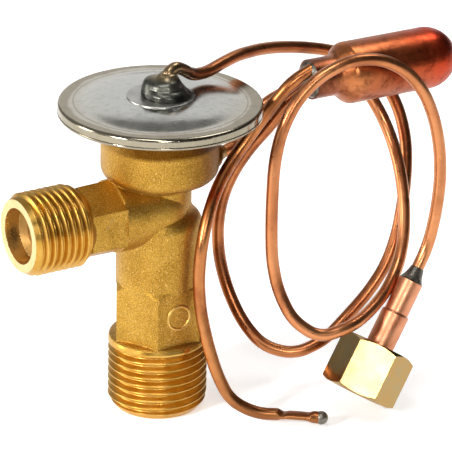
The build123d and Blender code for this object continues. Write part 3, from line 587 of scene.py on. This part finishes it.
# ------------------------------------------------------------------ solder at the head
# heights and radii of the soldered joint seen from four sides: right, front, left, back
SIDES = (
    ((5.2, 0), (4.6, 0.2), (4.0, 0.6), (3.45, 1.1), (3.0, 1.6), (2.65, 2.1), (2.35, 2.6), (2.1, 3.1), (1.9, 3.5), (1.75, 3.9), (1.6, 4.25)),
    ((4.7, 0), (4.78, 0.4), (4.62, 0.95), (4.15, 1.4), (3.68, 1.68), (3.55, 2.05), (3.4, 2.5), (2.95, 3.0), (2.35, 3.4), (1.9, 3.8), (1.6, 4.2)),
    ((5.0, 0), (5.1, 0.5), (5.05, 1.1), (4.9, 1.7), (4.75, 2.3), (4.5, 2.8), (4.0, 3.25), (3.2, 3.5), (2.4, 3.65), (1.9, 3.9), (1.6, 4.2)),
    ((4.6, 0), (4.4, 0.4), (4.1, 0.9), (3.8, 1.4), (3.5, 1.9), (3.2, 2.3), (2.9, 2.7), (2.5, 3.1), (2.1, 3.5), (1.85, 3.9), (1.6, 4.2)),
)


def station(points, u):
    i = min(len(points) - 2, int(u))
    f = u - i
    p = [points[max(0, min(len(points) - 1, i + k))] for k in (-1, 0, 1, 2)]
    out = []
    for a in (0, 1):
        q0, q1, q2, q3 = (v[a] for v in p)
        out.append(0.5 * (2 * q1 + (q2 - q0) * f + (2 * q0 - 5 * q1 + 4 * q2 - q3) * f * f + (3 * q1 - q0 - 3 * q2 + q3) * f ** 3))
    return out


def solder_mound(name, material):
    bm = bmesh.new()
    columns, levels = 96, 60
    base = Vector((1.3, -0.45, 63.41))
    rx, cx = Vector((math.cos(facing + math.pi / 2), math.sin(facing + math.pi / 2), 0)), Vector((math.cos(facing), math.sin(facing), 0))
    rows = []
    for lv in range(levels + 1):
        u = 10.0 * lv / levels
        row = []
        for k in range(columns):
            th = 2 * math.pi * k / columns
            q = 4.0 * k / columns
            i, f = int(q) % 4, q - int(q)
            f = f * f * (3 - 2 * f)
            a, b = station(SIDES[i], u), station(SIDES[(i + 1) % 4], u)
            rad, h = a[0] * (1 - f) + b[0] * f, a[1] * (1 - f) + b[1] * f
            d = rx * math.cos(th) + cx * math.sin(th)
            lump = noise.fractal((d * rad + Vector((0, 0, h))) * 0.55, 0.9, 2.0, 2) * 0.09
            fade = min(1.0, h / 0.5) * min(1.0, max(0.0, 4.2 - h) / 1.2)
            row.append(bm.verts.new((base + d * (rad + lump * fade) + Vector((0, 0, h))) * MM))
        rows.append(row)
    for a, b in zip(rows, rows[1:]):
        for k in range(columns):
            bm.faces.new((a[k], a[(k + 1) % columns], b[(k + 1) % columns], b[k]))
    bm.faces.new(rows[0][::-1])
    bm.faces.new(rows[-1])
    bmesh.ops.recalc_face_normals(bm, faces=bm.faces)
    return add_object(name, bm, material, 80.0)


dome = solder_mound("head_solder_mound", solder_head)
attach(dome, "valve")
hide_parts("head_solder")

# ------------------------------------------------------------------ floor, light and surroundings
bm = bmesh.new()
span = 3.0
verts = [bm.verts.new((x, y, 0)) for x, y in ((-span, -span), (span, -span), (span, span), (-span, span))]
bm.faces.new(verts)
fm = Mat("floor_pale")
fm.set(Metallic=0.0, Roughness=0.75)
fm.b.inputs["Emission Color"].default_value = (1.0, 1.0, 1.0, 1.0)
fm.b.inputs["Emission Strength"].default_value = 0.46
fm.color(fm.ramp(fm.noise(6, 2, 0.5), [(0.3, (0.90, 0.90, 0.895)), (0.7, (0.93, 0.93, 0.925))]))
floor = add_object("floor", bm, fm.m)
floor.location.z = -0.00002


def area(name, direction, distance, size, power, colour=(1, 1, 1), shape="RECTANGLE", size_y=None, aim=(0.012, -0.004, 0.038)):
    d = bpy.data.lights.new(name, "AREA")
    d.shape = shape
    d.size = size
    if shape == "RECTANGLE":
        d.size_y = size_y or size
    d.energy = power
    d.color = colour
    o = bpy.data.objects.new(name, d)
    bpy.context.scene.collection.objects.link(o)
    v = Vector(direction).normalized()
    o.location = Vector(aim) + v * distance
    o.rotation_euler = v.to_track_quat("Z", "Y").to_euler()
    return o


left = -r


def dirn(turn, lift):
    """Direction seen from the object: turn degrees to the left of the camera, lift degrees up."""
    t, e = math.radians(turn), math.radians(lift)
    return (c * math.cos(t) + left * math.sin(t)) * math.cos(e) + zup * math.sin(e)


area("key_softbox", dirn(46, 24), 1.1, 0.18, 8.5)
area("front_softbox", dirn(-6, 27), 1.1, 0.19, 3.0)
area("left_softbox", dirn(88, 14), 1.0, 0.26, 4.0, size_y=0.5)
area("top_softbox", dirn(20, 70), 1.2, 0.36, 3.2)
area("rear_top", dirn(-140, 60), 1.2, 0.40, 3.0)
area("back_panel", dirn(175, 19), 1.3, 1.1, 1.9, size_y=0.80)

bpy.context.scene.view_settings.view_transform = "Standard"
world = bpy.data.worlds.new("studio")
bpy.context.scene.world = world
world.use_nodes = True
wn = world.node_tree
bg = wn.nodes["Background"]
tcw = wn.nodes.new("ShaderNodeTexCoord")
sep = wn.nodes.new("ShaderNodeSeparateXYZ")
wn.links.new(tcw.outputs["Generated"], sep.inputs[0])
dotn = wn.nodes.new("ShaderNodeVectorMath")
dotn.operation = "DOT_PRODUCT"
dotn.inputs[1].default_value = left * 0.75 - c * 0.35 + zup * 0.35
wn.links.new(tcw.outputs["Generated"], dotn.inputs[0])
wr = wn.nodes.new("ShaderNodeValToRGB")
wr.color_ramp.elements[0].position = 0.0
wr.color_ramp.elements[0].color = (0.10, 0.095, 0.09, 1)
wr.color_ramp.elements[1].position = 0.75
wr.color_ramp.elements[1].color = (0.52, 0.52, 0.52, 1)
wn.links.new(dotn.outputs["Value"], wr.inputs[0])
wn.links.new(wr.outputs[0], bg.inputs[0])
bg.inputs[1].default_value = 0.55
